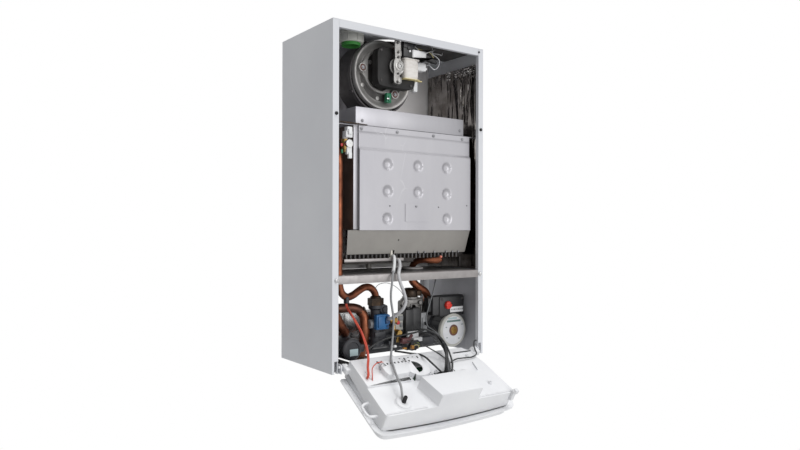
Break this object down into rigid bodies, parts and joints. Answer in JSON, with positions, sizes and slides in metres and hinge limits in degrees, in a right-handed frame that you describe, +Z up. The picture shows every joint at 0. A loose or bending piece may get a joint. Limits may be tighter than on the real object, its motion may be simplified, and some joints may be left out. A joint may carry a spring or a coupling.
{
  "type": "wall-hung gas boiler",
  "caption": "Wall-hung combination gas boiler with its front cover off and its control panel hinged down, showing the fan, combustion chamber, pipes, valves and pump.",
  "frame": {"origin": "on the wall, at the middle of the hanging rail's back face", "axes": "+X to the boiler's right seen from the front, +Y into the wall, +Z up"},
  "size_m": [0.4, 0.374, 0.8219],
  "materials": {
    "white_paint": "satin white enamel",
    "galvanised": "zinc-coated sheet",
    "foil": "bright rolled sheet",
    "chamber_sheet": "aluminised sheet",
    "grey_paint": "matt grey",
    "dark_steel": "matt dark grey",
    "stainless": "bright",
    "lamination": "stacked laminations",
    "cast_alloy": "as cast",
    "copper": "dull copper tube",
    "brass": "machined",
    "black_plastic": "moulded",
    "composite": "glass-filled moulding",
    "white_plastic": "moulded",
    "grey_plastic": "moulded",
    "blue_plastic": "moulded",
    "red_plastic": "moulded",
    "grey_rubber": "moulded",
    "coil_tape": "wound coil under tape",
    "ceramic": "glazed ceramic",
    "insulation": "pressed fibre board",
    "board": "circuit board",
    "grey_wire": "silicone sheath",
    "red_wire": "sheathed wires",
    "black_wire": "sheathed wires"
  },
  "bodies": {
    "case": {"left_side_panel": "white_paint", "right_side_panel": "white_paint", "top_panel": "white_paint", "rear_panel": "galvanised", "hanging_rail": "galvanised", "chamber_floor": "galvanised", "bottom_rail": "galvanised", "foil_liner": "foil", "flue_flange": "white_plastic", "intake_cap": "grey_plastic", "expansion_vessel": "grey_paint", "combustion_shell": "galvanised", "smoke_hood": "foil", "chamber_cover": "chamber_sheet", "sight_plate": "galvanised", "flame_apron": "grey_paint", "chamber_lining": "insulation", "heat_exchanger": "copper", "burner_blades": "stainless", "gas_manifold": "galvanised", "ignition_electrode": "ceramic", "fan_volute": "dark_steel", "fan_motor_plate": "grey_paint", "motor_core": "lamination", "motor_coil": "coil_tape", "motor_bearing_strip": "cast_alloy", "motor_terminal_cover": "black_plastic", "flow_pipe": "copper", "return_pipe_upper": "copper", "return_pipe_lower": "copper", "air_vent": "brass", "gas_pipe_upper": "copper", "gas_pipe_lower": "copper", "gas_grommet": "grey_rubber", "gas_valve": "cast_alloy", "water_block": "composite", "diverter_actuator": "black_plastic", "water_pressure_switch": "blue_plastic", "cold_water_pipe": "copper", "plate_exchanger": "stainless", "pump_body": "composite", "pump_motor": "cast_alloy", "pump_terminal_box": "black_plastic", "electrode_lead": "grey_wire", "sensor_lead": "grey_wire", "red_lead": "red_wire", "black_lead": "black_wire", "earth_lead": "grey_wire"},
    "fan": {"fan_wheel": "stainless", "fan_rotor": "stainless"},
    "pump_wheel": {"pump_impeller": "black_plastic"},
    "pump_speed_control": {"pump_speed_knob": "red_plastic"},
    "relief_control": {"relief_valve_knob": "black_plastic"},
    "control_panel": {"panel_back_cover": "white_plastic", "panel_fascia": "white_plastic", "circuit_board": "board", "pressure_gauge": "black_plastic"},
    "heating_control": {"heating_knob": "grey_plastic"},
    "hot_water_control": {"hot_water_knob": "grey_plastic"},
    "reset_control": {"reset_button": "grey_plastic"}
  },
  "joints": [
    {"name": "fan_spin", "type": "hinge", "parent": "case", "child": "fan", "pos_m": [-0.028, -0.15, -0.008], "axis": [0, 1, 0], "continuous": true},
    {"name": "pump_spin", "type": "hinge", "parent": "case", "child": "pump_wheel", "pos_m": [0.155, -0.1, -0.589], "axis": [0, 1, 0], "continuous": true},
    {"name": "pump_speed_turn", "type": "hinge", "parent": "case", "child": "pump_speed_control", "pos_m": [0.138, -0.17, -0.53], "axis": [0, 1, 0], "range_deg": [0, 120]},
    {"name": "relief_turn", "type": "hinge", "parent": "case", "child": "relief_control", "pos_m": [0.026, -0.18, -0.61], "axis": [0, 1, 0], "range_deg": [0, 90]},
    {"name": "panel_hinge", "type": "hinge", "parent": "case", "child": "control_panel", "pos_m": [0, -0.22, -0.627], "axis": [1, 0, 0], "range_deg": [-121, 0], "deforming": ["electrode_lead", "sensor_lead", "red_lead", "black_lead", "earth_lead"]},
    {"name": "heating_knob_turn", "type": "hinge", "parent": "control_panel", "child": "heating_control", "pos_m": [0.042, -0.26968, -0.71518], "axis": [0, -0.515, 0.8572], "range_deg": [-135, 135]},
    {"name": "hot_water_knob_turn", "type": "hinge", "parent": "control_panel", "child": "hot_water_control", "pos_m": [0.1, -0.26968, -0.71518], "axis": [0, -0.515, 0.8572], "range_deg": [-135, 135]},
    {"name": "reset_press", "type": "slide", "parent": "control_panel", "child": "reset_control", "axis": [0, -0.515, 0.8572], "range_m": [0, 0.003], "stiffness_N_per_m": 200, "springref_m": -0.003}
  ]
}
